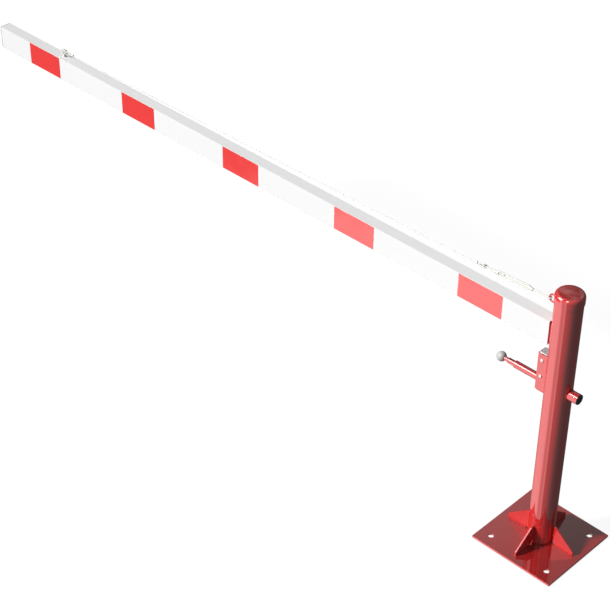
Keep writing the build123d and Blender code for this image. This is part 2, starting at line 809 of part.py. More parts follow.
with BuildPart() as guide_bush:
    with BuildSketch(facing_boom(bush_inner_end, lock_height)):
        Circle(guide_bore)
        Circle(plunger_bore, mode=Mode.SUBTRACT)
    extrude(amount=bush_inner_end - bush_outer_end)
    chamfer(guide_bush.faces().sort_by(Axis.X)[0].outer_wire().edges(), guide_bush_chamfer)
    with BuildSketch(Plane(origin=(guide_screw_x, 0, lock_height), z_dir=(0, 0, 1))):
        Circle(set_screw_radius)
    extrude(amount=guide_radius, mode=Mode.SUBTRACT)
keep(guide_bush, "guide_bush")

dog_step = plunger_radius + dog_step_gap
dog_tip = plunger_radius - plunger_groove_depth + plunger_groove_gap
with BuildPart() as guide_screw:
    with BuildSketch(Plane.XY.offset(lock_height + dog_step)):
        with Locations((guide_screw_x, 0)):
            Circle(set_screw_radius)
    extrude(amount=guide_bore - set_screw_sink - dog_step)
    with BuildSketch(Plane.XY.offset(lock_height + dog_tip)):
        with Locations((guide_screw_x, 0)):
            Circle(dog_radius)
    extrude(amount=dog_step - dog_tip)
keep(guide_screw, "guide_screw")

tube_screw_length = guide_radius - guide_bore - set_screw_sink
tube_screw_foot = Vector(tube_screw_x, 0, lock_height) + tube_screw_aim * guide_bore
with BuildPart() as tube_screw:
    with BuildSketch(Plane(origin=tube_screw_foot, z_dir=tube_screw_aim)):
        Circle(set_screw_radius)
        RegularPolygon(set_screw_key, 6, major_radius=False, mode=Mode.SUBTRACT)
    extrude(amount=tube_screw_length)
keep(tube_screw, "tube_screw")

# The plunger rests drawn back; pushed in by its travel it enters an index hole.
knob_flat = knob_radius * knob_flat_share
knob_flat_rise = sqrt(knob_radius**2 - knob_flat**2)
plunger_end = knob_centre + knob_flat
groove_low = guide_screw_x - plunger_travel - dog_radius - plunger_groove_gap
groove_high = guide_screw_x + dog_radius + plunger_groove_gap
with BuildPart() as plunger_rod:
    with BuildSketch(facing_away(plunger_end, lock_height)):
        Circle(plunger_radius)
    extrude(amount=plunger_tip - plunger_end)
    chamfer(plunger_rod.faces().sort_by(Axis.X)[-1].edges(), plunger_tip_chamfer)
    with BuildSketch(facing_away(plunger_shoulder_x, lock_height)):
        Circle(plunger_shoulder_radius)
    extrude(amount=plunger_shoulder_length)
    with BuildSketch(facing_boom(plunger_end, lock_height)):
        Circle(knob_stud_radius)
    extrude(amount=knob_stud_depth)
    with BuildSketch(Plane.XY.offset(lock_height + plunger_radius - plunger_groove_depth)):
        with Locations(((groove_low + groove_high) / 2, 0)):
            SlotOverall(groove_high - groove_low, 2 * (dog_radius + plunger_groove_gap))
    extrude(amount=2 * plunger_groove_depth, mode=Mode.SUBTRACT)
keep(plunger_rod, "plunger_rod")

with BuildPart() as ball_knob:
    with BuildSketch(Plane.XZ):
        with BuildLine():
            Line((knob_centre - knob_radius, lock_height), (plunger_end, lock_height))
            Line((plunger_end, lock_height), (plunger_end, lock_height + knob_flat_rise))
            ThreePointArc(
                (plunger_end, lock_height + knob_flat_rise),
                (knob_centre, lock_height + knob_radius),
                (knob_centre - knob_radius, lock_height),
            )
        make_face()
    revolve(axis=Axis((0, 0, lock_height), (1, 0, 0)))
    with BuildSketch(facing_boom(plunger_end, lock_height)):
        Circle(knob_stud_radius)
    extrude(amount=knob_stud_depth, mode=Mode.SUBTRACT)
keep(ball_knob, "ball_knob")

spring_start = bush_inner_end + spring_wire_radius + spring_end_gap
spring_height = plunger_shoulder_x - spring_wire_radius - spring_end_gap - spring_start
with BuildPart() as plunger_spring:
    with BuildLine() as coil:
        Helix(
            spring_height / spring_turns,
            spring_height,
            spring_mid_radius,
            center=(spring_start, 0, lock_height),
            direction=(1, 0, 0),
        )
    with BuildSketch(Plane(origin=coil.line @ 0, z_dir=coil.line % 0)):
        Circle(spring_wire_radius)
    sweep(is_frenet=True)
keep(plunger_spring, "plunger_spring")

# ---------------------------------------------------------------- spare socket
with BuildPart() as stub_tube:
    with BuildSketch(facing_away(0, lock_height)):
        Circle(stub_radius)
        Circle(stub_radius - stub_wall, mode=Mode.SUBTRACT)
    extrude(amount=stub_end)
    cut_post()
keep(stub_tube, "stub_tube")

plug_core = stub_radius - stub_wall
with BuildPart() as stub_plug:
    with BuildSketch(facing_away(stub_end, lock_height)):
        Circle(stub_plug_radius)
    extrude(amount=stub_plug_face)
    fillet(stub_plug.faces().sort_by(Axis.X)[-1].edges(), stub_plug_round)
    with BuildSketch(facing_boom(stub_end, lock_height)):
        Circle(plug_core)
        Circle(plug_core - stub_wall, mode=Mode.SUBTRACT)
    extrude(amount=stub_plug_depth)
keep(stub_plug, "stub_plug")
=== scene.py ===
"""A level swinging traffic barrier: camera, light, finishes and fine pieces round the CAD."""
import json
import math

import bpy
from mathutils import Matrix, Vector


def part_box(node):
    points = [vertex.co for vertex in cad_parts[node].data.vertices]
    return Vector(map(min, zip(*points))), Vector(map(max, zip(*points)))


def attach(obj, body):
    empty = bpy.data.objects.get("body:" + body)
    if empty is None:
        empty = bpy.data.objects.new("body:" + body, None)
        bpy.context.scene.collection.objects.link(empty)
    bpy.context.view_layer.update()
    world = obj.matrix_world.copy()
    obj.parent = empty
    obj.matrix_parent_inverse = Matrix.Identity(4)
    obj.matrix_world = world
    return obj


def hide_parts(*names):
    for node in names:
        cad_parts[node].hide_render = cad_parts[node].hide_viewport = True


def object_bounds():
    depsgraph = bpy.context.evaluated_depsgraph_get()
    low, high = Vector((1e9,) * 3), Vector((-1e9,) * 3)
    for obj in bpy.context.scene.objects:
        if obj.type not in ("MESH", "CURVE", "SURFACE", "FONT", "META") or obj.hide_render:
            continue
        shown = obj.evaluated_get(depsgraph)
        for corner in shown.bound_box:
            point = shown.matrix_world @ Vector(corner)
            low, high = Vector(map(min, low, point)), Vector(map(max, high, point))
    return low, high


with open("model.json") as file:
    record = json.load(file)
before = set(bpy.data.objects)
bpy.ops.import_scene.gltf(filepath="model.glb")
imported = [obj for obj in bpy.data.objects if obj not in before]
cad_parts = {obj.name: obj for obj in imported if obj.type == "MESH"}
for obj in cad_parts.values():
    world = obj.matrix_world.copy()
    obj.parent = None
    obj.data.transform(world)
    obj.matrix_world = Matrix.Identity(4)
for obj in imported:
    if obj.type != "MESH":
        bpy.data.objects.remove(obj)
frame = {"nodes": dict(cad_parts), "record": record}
cad_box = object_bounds()
nodes = frame["nodes"]
mm = 0.001

# ---------------------------------------------------------------- camera
camera_place = Vector((2.535344, -3.894855, 4.459164))
camera_yaw = 0.768502
camera_pitch = 0.931291
camera_roll = 0.009941
camera_lens = 100.134
sensor_width = 36.0
clip_near = 0.1
clip_far = 200.0


def make_camera():
    """The photograph's pinhole camera, fitted to the barrier's outline."""
    data = bpy.data.cameras.new("photo_camera")
    data.sensor_width = sensor_width
    data.lens = camera_lens
    data.clip_start = clip_near
    data.clip_end = clip_far
    camera = bpy.data.objects.new("photo_camera", data)
    turn = Matrix.Rotation(camera_yaw, 4, "Z") @ Matrix.Rotation(camera_pitch, 4, "X")
    turn = turn @ Matrix.Rotation(camera_roll, 4, "Z")
    camera.matrix_world = Matrix.Translation(camera_place) @ turn
    bpy.context.scene.collection.objects.link(camera)
    bpy.context.scene.camera = camera


# ---------------------------------------------------------------- node helpers
# A Mix node has a set of sockets for each kind of data; these are the ones used here.
mix_colours_in = (6, 7)
mix_colour_out = 2
mix_floats_in = (0, 2, 3)
unstretched = (1.0, 1.0, 1.0)


class Tree:
    """A node tree with short calls for the nodes that the finishes use."""

    def __init__(self, tree):
        self.tree = tree
        tree.nodes.clear()

    def add(self, kind, inputs=None, **settings):
        node = self.tree.nodes.new(kind)
        for name, value in settings.items():
            setattr(node, name, value)
        for name, value in (inputs or {}).items():
            self.put(node.inputs[name], value)
        return node

    def put(self, socket, value):
        if isinstance(value, bpy.types.NodeSocket):
            self.tree.links.new(value, socket)
        else:
            socket.default_value = value

    def math(self, operation, *values, clamp=False):
        node = self.add("ShaderNodeMath", operation=operation, use_clamp=clamp)
        for socket, value in zip(node.inputs, values):
            self.put(socket, value)
        return node.outputs[0]

    def vector(self, operation, *values):
        node = self.add("ShaderNodeVectorMath", operation=operation)
        for socket, value in zip(node.inputs, values):
            self.put(socket, value)
        return node.outputs["Value" if operation == "DOT_PRODUCT" else "Vector"]

    def step(self, value, low, high, to_low=0.0, to_high=1.0):
        """A smooth change from to_low to to_high as the value goes from low to high."""
        settings = {"Value": value, "From Min": low, "From Max": high}
        settings |= {"To Min": to_low, "To Max": to_high}
        node = self.add("ShaderNodeMapRange", settings, interpolation_type="SMOOTHSTEP")
        return node.outputs["Result"]

    def mix(self, factor, first, second):
        """The mixture of two colours."""
        node = self.add("ShaderNodeMix", data_type="RGBA")
        self.put(node.inputs["Factor"], factor)
        for number, colour in zip(mix_colours_in, (first, second)):
            self.put(node.inputs[number], colour)
        return node.outputs[mix_colour_out]

    def blend(self, factor, first, second):
        """The mixture of two plain numbers."""
        node = self.add("ShaderNodeMix", data_type="FLOAT")
        for number, value in zip(mix_floats_in, (factor, first, second)):
            self.put(node.inputs[number], value)
        return node.outputs[0]

    def place(self, stretch=unstretched):
        """The point on the piece in the frame's metres, stretched for streaks."""
        where = self.add("ShaderNodeTexCoord").outputs["Object"]
        return self.vector("MULTIPLY", where, stretch)

    def noise(self, scale, detail=2.0, stretch=unstretched, roughness=0.5):
        settings = {"Vector": self.place(stretch), "Scale": scale}
        settings |= {"Detail": detail, "Roughness": roughness}
        return self.add("ShaderNodeTexNoise", settings).outputs["Fac"]

    def bump(self, height, strength, distance, normal=None):
        settings = {"Height": height, "Strength": strength, "Distance": distance}
        if normal is not None:
            settings["Normal"] = normal
        return self.add("ShaderNodeBump", settings).outputs["Normal"]


def grey(level):
    """An opaque colour without hue."""
    return (level, level, level, 1.0)


def tint(colour, factor):
    """The colour made lighter or darker by a factor, and opaque."""
    return tuple(min(1.0, channel * factor) for channel in colour[:3]) + (1.0,)


def finish(name, build):
    """A material whose Principled shader is fed by build(tree), which returns its inputs."""
    material = bpy.data.materials.new(name)
    material.use_nodes = True
    tree = Tree(material.node_tree)
    output = tree.add("ShaderNodeOutputMaterial")
    shader = tree.add("ShaderNodeBsdfPrincipled", build(tree))
    tree.tree.links.new(shader.outputs[0], output.inputs["Surface"])
    return material


# ---------------------------------------------------------------- finishes
edge_round = 0.6 * mm
edge_samples = 4
edge_starts = 0.995
edge_is_full = 0.86


def edges(tree, radius):
    """A normal that rounds hard edges off, and a mask of where it does so."""
    bevel = tree.add("ShaderNodeBevel", {"Radius": radius}, samples=edge_samples)
    rounded = bevel.outputs["Normal"]
    flat = tree.add("ShaderNodeNewGeometry").outputs["Normal"]
    agreement = tree.vector("DOT_PRODUCT", rounded, flat)
    return rounded, tree.step(agreement, edge_starts, edge_is_full)


paint_index = 2.4
# Painted shade: how much darker the paint is made where it lies flat.
painted_flat_shade = 0.49
# How strongly the edges take the lighter red, partly wear and partly a painted highlight.
edge_wear_and_highlight = 0.8
dust_roughness = 1.2
dust_colour = (0.42, 0.30, 0.26, 1.0)
red_base = (0.690, 0.0200, 0.0200, 1.0)
# The lighter red of the rounded edges: partly worn paint, partly a painted highlight.
red_edge_wear_and_highlight = (0.95, 0.22, 0.20, 1.0)


def gloss_paint(base, worn_and_highlit, dust=0.0, roughness=0.07, index=paint_index, radius=edge_round):
    """Stoved gloss paint: faint orange peel, lighter edges that are partly wear and partly a
    painted highlight, a painted shade where it lies flat, and dust there.
    """

    def build(tree):
        rounded, edge = edges(tree, radius)
        cloud = tree.noise(3.2, 3.0)
        fleck = tree.noise(240.0, 2.0)
        colour = tree.mix(cloud, tint(base, 0.90), tint(base, 1.10))
        colour = tree.mix(tree.step(fleck, 0.60, 0.80, 0.0, 0.10), colour, tint(base, 1.5))
        # Edge colour, partly wear and partly a painted highlight: broken stretches of the rounded
        # edges turn a lighter red.
        breaks = tree.step(tree.noise(75.0, 4.0, roughness=0.65), 0.35, 0.65, 0.35, 1.0)
        wear_and_highlight = tree.math("MULTIPLY", tree.math("MULTIPLY", edge, breaks), edge_wear_and_highlight)
        facing = tree.add("ShaderNodeNewGeometry").outputs["Normal"]
        up = tree.add("ShaderNodeSeparateXYZ", {"Vector": facing})
        # Painted shade: faces that lie flat are made darker, as if less light fell on them; the
        # same mask also places the dust.
        lying = tree.step(up.outputs["Z"], 0.80, 1.0)
        colour = tree.mix(lying, colour, tree.vector("MULTIPLY", colour, (painted_flat_shade,) * 3))
        colour = tree.mix(wear_and_highlight, colour, worn_and_highlit)
        film = tree.step(tree.noise(14.0, 5.0, roughness=0.6), 0.42, 0.72)
        dusty = tree.math("MULTIPLY", tree.math("MULTIPLY", lying, film), dust)
        colour = tree.mix(dusty, colour, dust_colour)
        shine = tree.step(tree.noise(9.0, 4.0), 0.3, 0.7, roughness - 0.02, roughness + 0.04)
        shine = tree.math("ADD", shine, tree.math("MULTIPLY", dusty, dust_roughness))
        peel = tree.bump(tree.noise(330.0, 2.0), 0.05, 0.02 * mm, rounded)
        return {"Base Color": colour, "Roughness": shine, "Normal": peel, "IOR": index}

    return build


profile_round = 0.2 * mm


def white_profile(tree):
    """Powder-coated aluminium extrusion: faint draw lines along it and light traffic grime."""
    rounded, edge = edges(tree, profile_round)
    cloud = tree.noise(2.4, 4.0, stretch=(0.35, 1.0, 1.0))
    lines = tree.noise(420.0, 2.0, stretch=(0.006, 1.0, 1.0))
    colour = tree.mix(cloud, grey(0.86), grey(0.92))
    colour = tree.mix(tree.step(lines, 0.62, 0.75, 0.0, 0.10), colour, grey(0.60))
    spots = tree.noise(34.0, 5.0, stretch=(0.25, 1.0, 1.0), roughness=0.7)
    grime = tree.step(spots, 0.62, 0.80, 0.0, 0.10)
    colour = tree.mix(grime, colour, (0.50, 0.48, 0.44, 1.0))
    colour = tree.mix(tree.math("MULTIPLY", edge, 0.20), colour, (0.76, 0.76, 0.77, 1.0))
    shine = tree.step(cloud, 0.3, 0.7, 0.30, 0.40)
    height = tree.math("ADD", tree.math("MULTIPLY", lines, 0.6), tree.noise(520.0, 2.0))
    normal = tree.bump(height, 0.10, 0.02 * mm, rounded)
    return {"Base Color": colour, "Roughness": shine, "Normal": normal}


film_index = 2.2


def film_sheet(base, deep, roughness):
    """Reflective sheeting: small sealed cells under a smooth glossy face."""

    def build(tree):
        settings = {"Vector": tree.place(), "Scale": 260.0, "Randomness": 0.12}
        cells = tree.add("ShaderNodeTexVoronoi", settings, feature="DISTANCE_TO_EDGE")
        cells = cells.outputs["Distance"]
        wall = tree.step(cells, 0.02, 0.10, 1.0, 0.0)
        colour = tree.mix(tree.noise(6.0, 3.0), base, tint(base, 0.94))
        colour = tree.mix(tree.math("MULTIPLY", wall, 0.35), colour, deep)
        shine = tree.step(tree.noise(18.0, 3.0), 0.3, 0.7, roughness - 0.02, roughness + 0.02)
        normal = tree.bump(wall, 0.02, 0.02 * mm)
        return {"Base Color": colour, "Roughness": shine, "Normal": normal, "IOR": film_index}

    return build


def zinc_plate(tree):
    """Bright zinc on small forged and turned fittings."""
    rounded, edge = edges(tree, 0.5 * mm)
    cloud = tree.noise(120.0, 4.0, roughness=0.6)
    colour = tree.mix(cloud, (0.77, 0.76, 0.71, 1.0), (0.86, 0.85, 0.80, 1.0))
    colour = tree.mix(tree.math("MULTIPLY", edge, 0.5), colour, (0.90, 0.90, 0.87, 1.0))
    shine = tree.step(tree.noise(300.0, 3.0), 0.3, 0.7, 0.34, 0.46)
    normal = tree.bump(tree.noise(900.0, 3.0), 0.05, 0.02 * mm, rounded)
    return {"Base Color": colour, "Roughness": shine, "Metallic": 0.05, "Normal": normal}


def hot_dip(tree):
    """Hot-dip galvanising: a mosaic of dull and bright crystals."""
    rounded, edge = edges(tree, 0.8 * mm)
    warp = tree.noise(60.0, 2.0)
    settings = {"Vector": tree.place(), "Scale": 210.0, "Randomness": 1.0}
    crystals = tree.add("ShaderNodeTexVoronoi", settings).outputs["Color"]
    each = tree.add("ShaderNodeSeparateColor", {"Color": crystals}).outputs[0]
    tone = tree.math("ADD", tree.math("MULTIPLY", each, 0.75), tree.math("MULTIPLY", warp, 0.25))
    colour = tree.mix(tone, (0.50, 0.51, 0.52, 1.0), (0.92, 0.93, 0.93, 1.0))
    colour = tree.mix(tree.math("MULTIPLY", edge, 0.4), colour, grey(0.90))
    shine = tree.step(tone, 0.2, 0.8, 0.46, 0.30)
    normal = tree.bump(tone, 0.15, 0.05 * mm, rounded)
    return {"Base Color": colour, "Roughness": shine, "Metallic": 0.65, "Normal": normal}


def turned_metal(tree):
    """The ball knob: satin turned aluminium, its tool marks round the plunger's axis."""
    marks = tree.noise(1500.0, 2.0, stretch=(1.0, 0.02, 0.02))
    cloud = tree.noise(45.0, 3.0)
    colour = tree.mix(cloud, grey(0.59), grey(0.64))
    shine = tree.step(marks, 0.3, 0.7, 0.42, 0.52)
    normal = tree.bump(marks, 0.02, 0.03 * mm)
    return {"Base Color": colour, "Roughness": shine, "Metallic": 0.20, "Normal": normal}


def drawn_steel(tree):
    """Plain steel inside the post, oiled and a little brown."""
    lines = tree.noise(500.0, 3.0, stretch=(1.0, 1.0, 0.01))
    stain = tree.step(tree.noise(22.0, 5.0, roughness=0.65), 0.45, 0.75)
    colour = tree.mix(stain, grey(0.40), (0.24, 0.18, 0.14, 1.0))
    shine = tree.step(lines, 0.3, 0.7, 0.30, 0.45)
    normal = tree.bump(lines, 0.10, 0.03 * mm)
    return {"Base Color": colour, "Roughness": shine, "Metallic": 0.9, "Normal": normal}


def strand_wire(tree):
    """Galvanised rope wire, its single wires a fine slanting grain."""
    grain = tree.noise(1900.0, 2.0, stretch=(0.35, 1.0, 1.0))
    colour = tree.mix(grain, (0.90, 0.89, 0.85, 1.0), (0.97, 0.96, 0.92, 1.0))
    shine = tree.step(grain, 0.3, 0.7, 0.44, 0.60)
    normal = tree.bump(grain, 0.12, 0.04 * mm)
    return {"Base Color": colour, "Roughness": shine, "Metallic": 0.04, "Normal": normal}


def pressed_alloy(tree):
    """Aluminium ferrule with the press tool's faint flats."""
    press = tree.noise(420.0, 3.0, stretch=(0.2, 1.0, 1.0))
    colour = tree.mix(press, (0.88, 0.88, 0.86, 1.0), (0.96, 0.96, 0.94, 1.0))
    shine = tree.step(press, 0.3, 0.7, 0.30, 0.45)
    normal = tree.bump(press, 0.15, 0.06 * mm)
    return {"Base Color": colour, "Roughness": shine, "Metallic": 0.08, "Normal": normal}


def black_oxide(tree):
    """Blackened screw steel."""
    cloud = tree.noise(300.0, 3.0)
    colour = tree.mix(cloud, (0.012, 0.011, 0.011, 1.0), (0.035, 0.032, 0.030, 1.0))
    shine = tree.step(cloud, 0.3, 0.7, 0.32, 0.48)
    normal = tree.bump(cloud, 0.15, 0.03 * mm)
    return {"Base Color": colour, "Roughness": shine, "Metallic": 0.5, "Normal": normal}


def moulded(dark, light, low_shine, high_shine):
    """Injection-moulded plastic with a fine spark-eroded grain."""

    def build(tree):
        rounded, edge = edges(tree, 0.6 * mm)
        cloud = tree.noise(30.0, 3.0)
        grain = tree.noise(1100.0, 2.0)
        colour = tree.mix(cloud, dark, light)
        colour = tree.mix(tree.math("MULTIPLY", edge, 0.3), colour, tint(light, 1.4))
        shine = tree.step(grain, 0.3, 0.7, low_shine, high_shine)
        normal = tree.bump(grain, 0.18, 0.03 * mm, rounded)
        return {"Base Color": colour, "Roughness": shine, "Normal": normal}

    return build


paints = {
    "red": gloss_paint(red_base, red_edge_wear_and_highlight),
    "plate": gloss_paint(red_base, red_edge_wear_and_highlight, dust=0.02, roughness=0.035, radius=0.2 * mm),
    "weld": gloss_paint(red_base, red_edge_wear_and_highlight, roughness=0.34, index=1.4),
}
film_red = film_sheet((1.00, 0.050, 0.048, 1.0), (0.74, 0.020, 0.020, 1.0), 0.09)
grey_mould = moulded(grey(0.46), grey(0.56), 0.35, 0.48)
black_mould = moulded(grey(0.008), grey(0.020), 0.10, 0.18)
polyamide = moulded((0.62, 0.60, 0.52, 1.0), (0.72, 0.70, 0.62, 1.0), 0.35, 0.50)
materials = {
    "red_paint": finish("gloss_red", paints["red"]),
    "plate_paint": finish("gloss_red_plate", paints["plate"]),
    "weld_paint": finish("gloss_red_weld", paints["weld"]),
    "white_paint": finish("white_powder_coat", white_profile),
    "red_film": finish("film_red", film_red),
    "zinc": finish("bright_zinc", zinc_plate),
    "galvanised": finish("hot_dip_zinc", hot_dip),
    "knob_metal": finish("satin_turned_metal", turned_metal),
    "bare_steel": finish("oiled_steel", drawn_steel),
    "rope_wire": finish("rope_wire", strand_wire),
    "ferrule_alloy": finish("pressed_alloy", pressed_alloy),
    "black_screw": finish("black_oxide", black_oxide),
    "grey_plastic": finish("grey_moulding", grey_mould),
    "black_plastic": finish("black_moulding", black_mould),
    "bearing_plastic": finish("polyamide", polyamide),
}
own_finish = {"base_plate": "plate_paint"}


def finish_frame():
    """Give every CAD node the finish of its material slot, or one of its own."""
    for name, node in nodes.items():
        for holder in node.material_slots:
            packed = holder.material.name.split(".")[0]
            holder.material = materials[own_finish.get(name, packed)]


# ---------------------------------------------------------------- fine pieces
def add_piece(name, points, faces, body, slot, material=None):
    """A smooth mesh piece that rides on a body and takes its finish from a material slot."""
    mesh = bpy.data.meshes.new(name)
    mesh.from_pydata([tuple(point) for point in points], [], faces)
    mesh.materials.append(materials[material or slot])
    mesh.shade_smooth()
    mesh.update()
    piece = bpy.data.objects.new(name, mesh)
    bpy.context.scene.collection.objects.link(piece)
    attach(piece, body)
    return piece


def turned_frames(path, closed=False):
    """Tangent and two crossing directions at each point, carried along without twist."""
    count = len(path)
    tangents = []
    for index in range(count):
        before = path[index - 1] if closed or index else path[0]
        after = path[(index + 1) % count] if closed or index < count - 1 else path[-1]
        tangents.append((after - before).normalized())
    side = tangents[0].orthogonal().normalized()
    frames = []
    for tangent in tangents:
        side = (side - tangent * side.dot(tangent)).normalized()
        frames.append((tangent, side, tangent.cross(side)))
    return frames


def stitch(count, sides, closed):
    """Faces that join rings of points one to the next, with flat ends unless the run is closed."""
    faces = []
    for ring in range(count if closed else count - 1):
        here, there = ring * sides, (ring + 1) % count * sides
        for side in range(sides):
            beside = (side + 1) % sides
            faces.append((here + side, here + beside, there + beside, there + side))
    if not closed:
        faces.append(tuple(reversed(range(sides))))
        faces.append(tuple((count - 1) * sides + side for side in range(sides)))
    return faces


def spaced(path, step, closed=False):
    """Points a step apart along a path of straight runs."""
    ends = path + [path[0]] if closed else path
    lengths = [(after - before).length for before, after in zip(ends, ends[1:])]
    total = sum(lengths)
    count = max(2, round(total / step))
    points = []
    run, passed = 0, 0.0
    for index in range(count if closed else count + 1):
        wanted = total * index / count
        while run < len(lengths) - 1 and wanted > passed + lengths[run]:
            passed += lengths[run]
            run += 1
        share = min(1.0, (wanted - passed) / lengths[run])
        points.append(ends[run].lerp(ends[run + 1], share))
    return points


weld_step = 0.6 * mm
weld_ripple = 2.4 * mm
weld_sides = 10
weld_valley = 0.94
weld_crown = 0.10
weld_wander = 0.03
weld_wander_rate = 0.37
weld_tip = 0.45
weld_tip_growth = 0.12


def weld(path, radius, closed=False):
    """Points and faces of a weld bead: a round run with the small steps of its pool."""
    centres = spaced(path, weld_step, closed)
    frames = turned_frames(centres, closed)
    count = len(centres)
    points = []
    for index, (centre, (_, side, other)) in enumerate(zip(centres, frames)):
        along = index * weld_step / weld_ripple
        ripple = weld_crown * abs(math.sin(math.pi * along))
        swell = radius * (weld_valley + ripple + weld_wander * math.sin(along * weld_wander_rate))
        if not closed:
            from_end = min(index, count - 1 - index)
            swell *= min(1.0, weld_tip + weld_tip_growth * from_end)
        for number in range(weld_sides):
            angle = 2 * math.pi * number / weld_sides
            points.append(centre + swell * (math.cos(angle) * side + math.sin(angle) * other))
    return points, stitch(count, weld_sides, closed)


def weld_piece(name, runs, radius, body):
    """Several weld runs as one painted piece; each run is its path and whether it is closed."""
    points, faces = [], []
    for path, closed in runs:
        more_points, more_faces = weld(path, radius, closed)
        start = len(points)
        points += more_points
        faces += [tuple(start + corner for corner in face) for face in more_faces]
    return add_piece(name, points, faces, body, "red_paint", "weld_paint")


def circle(centre, first, second, radius, count=96):
    """Points of a circle round a centre in the plane of two directions."""
    turns = [2 * math.pi * number / count for number in range(count)]
    return [centre + radius * (math.cos(turn) * first + math.sin(turn) * second) for turn in turns]


along_x, along_y, along_z = Vector((1, 0, 0)), Vector((0, 1, 0)), Vector((0, 0, 1))
plate_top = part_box("base_plate")[1].z
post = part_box("mast_tube")[1].x
weld_end = 2.0 * mm
foot_weld = 2.4 * mm
foot_weld_up = 1.0 * mm
foot_weld_out = 0.8 * mm
foot_weld_points = 160
gusset_weld = 1.7 * mm
gusset_weld_out = 0.5 * mm
gusset_notch = 17.0 * mm
gusset_count = 4
housing_weld = 1.5 * mm
guide_weld = 2.2 * mm
guide_weld_out = 0.3 * mm
stub_weld = 2.4 * mm
stub_weld_out = 0.4 * mm
stub_weld_taller = 0.2 * mm
stub_weld_points = 96
arm_weld = 1.6 * mm
arm_corner = 4.0 * mm
eye_weld = 1.8 * mm
eye_weld_out = 0.6 * mm
eye_weld_half_height = 8.5 * mm
eye_weld_points = 72


def on_post(across, height):
    """The point of the post's boom side at a distance across it and a height."""
    return Vector((-math.sqrt(post**2 - across**2), across, height))


def weld_foot():
    """The ring round the foot of the post, and both sides of each gusset."""
    centre = Vector((0, 0, plate_top + foot_weld_up))
    ring = circle(centre, along_x, along_y, post + foot_weld_out, foot_weld_points)
    weld_piece("weld_foot", [(ring, True)], foot_weld, "base")
    for number in range(gusset_count):
        low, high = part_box(f"gusset_{number + 1}")
        turn = Matrix.Rotation(math.radians(90 * number), 3, "Z")
        reach = max(abs(low.x), abs(low.y), abs(high.x), abs(high.y))
        half = min(high.x - low.x, high.y - low.y) / 2
        runs = []
        for side in (-1, 1):
            beside = side * (half + gusset_weld_out)
            flat = [(post + gusset_notch, beside, plate_top), (reach - weld_end, beside, plate_top)]
            upright = [(post, beside, plate_top + gusset_notch), (post, beside, high.z - weld_end)]
            for run in (flat, upright):
                runs.append(([turn @ Vector(point) for point in run], False))
        weld_piece(f"weld_gusset_{number + 1}", runs, gusset_weld, "base")


def weld_lock():
    """Two upright runs beside the lock's housing, and rings round the guide tube and the stub."""
    low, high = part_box("lock_housing")
    edge_x = -math.sqrt(post**2 - high.y**2)
    runs = []
    for side in (low.y, high.y):
        ends = (low.z + weld_end, high.z - weld_end)
        runs.append(([Vector((edge_x, side, height)) for height in ends], False))
    weld_piece("weld_lock_housing", runs, housing_weld, "mast")

    low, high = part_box("guide_tube")
    middle = Vector((high.x, 0, (low.z + high.z) / 2))
    collar = circle(middle, along_y, along_z, high.y + guide_weld_out)
    weld_piece("weld_guide_tube", [(collar, True)], guide_weld, "mast")

    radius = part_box("stub_tube")[1].y
    saddle = []
    for number in range(stub_weld_points):
        turn = 2 * math.pi * number / stub_weld_points
        across = radius * math.cos(turn)
        height = middle.z + (radius + stub_weld_taller) * math.sin(turn)
        saddle.append(Vector((math.sqrt(post**2 - across**2) + stub_weld_out, across, height)))
    weld_piece("weld_stub", [(saddle, True)], stub_weld, "mast")


def weld_head():
    """The runs that hold the boom's arm and the stay's eye to the post."""
    low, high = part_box("boom_arm")
    left, right = low.y + arm_corner, high.y - arm_corner
    bottom, top = low.z + arm_corner, high.z - arm_corner
    corners = [(low.y, bottom), (low.y, top), (left, high.z), (right, high.z)]
    corners += [(high.y, top), (high.y, bottom), (right, low.z), (left, low.z)]
    ring = [on_post(across, height) for across, height in corners]
    weld_piece("weld_boom_arm", [(ring, True)], arm_weld, "mast")

    low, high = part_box("stay_eye")
    middle_z = (low.z + high.z) / 2
    half = (high.y - low.y) / 2
    oval = []
    for number in range(eye_weld_points):
        turn = 2 * math.pi * number / eye_weld_points
        across = (half + eye_weld_out) * math.cos(turn)
        oval.append(on_post(across, middle_z + eye_weld_half_height * math.sin(turn)))
    weld_piece("weld_stay_eye", [(oval, True)], eye_weld, "mast")


# The rope's route in its own plane, along the line of pull and above it, as in the CAD source.
rope_start = Vector((-2.6633, 0.0, 1.0153))
rope_slope = math.atan2(0.0389, 2.3023)
rope_route = [
    (0.0568, 0.00205),
    (0.0408, 0.00205),
    (0.0108, 0.0106),
    (0.0108, -0.0106),
    (0.0408, -0.00205),
    (0.0720, -0.00205),
    (2.2398, -0.00205),
    (2.2710, -0.00205),
    (2.3010, -0.0106),
    (2.3010, 0.0106),
    (2.2710, 0.00205),
    (2.2550, 0.00205),
]
rope_radius = 2.0 * mm
rope_lay = 26.0 * mm
rope_strands = 6
rope_steps_per_lay = 9
strand_sides = 6
strand_closing = 1.02
rope_core = 1.62 * mm
rope_along = Vector((math.cos(rope_slope), 0.0, math.sin(rope_slope)))
rope_up = Vector((-math.sin(rope_slope), 0.0, math.cos(rope_slope)))


def rope_line():
    """Points along the smooth line of the rope's route, read from its spline."""
    curve = bpy.data.curves.new("stay_route", "CURVE")
    curve.dimensions = "3D"
    curve.resolution_u = 48
    spline = curve.splines.new("NURBS")
    spline.points.add(len(rope_route) - 1)
    for point, (along, up) in zip(spline.points, rope_route):
        place = rope_start + along * rope_along + up * rope_up
        point.co = (*place, 1.0)
    spline.order_u = 3
    spline.use_endpoint_u = True
    holder = bpy.data.objects.new("stay_route", curve)
    mesh = bpy.data.meshes.new_from_object(holder)
    line = [vertex.co.copy() for vertex in mesh.vertices]
    bpy.data.meshes.remove(mesh)
    bpy.data.objects.remove(holder)
    bpy.data.curves.remove(curve)
    return line


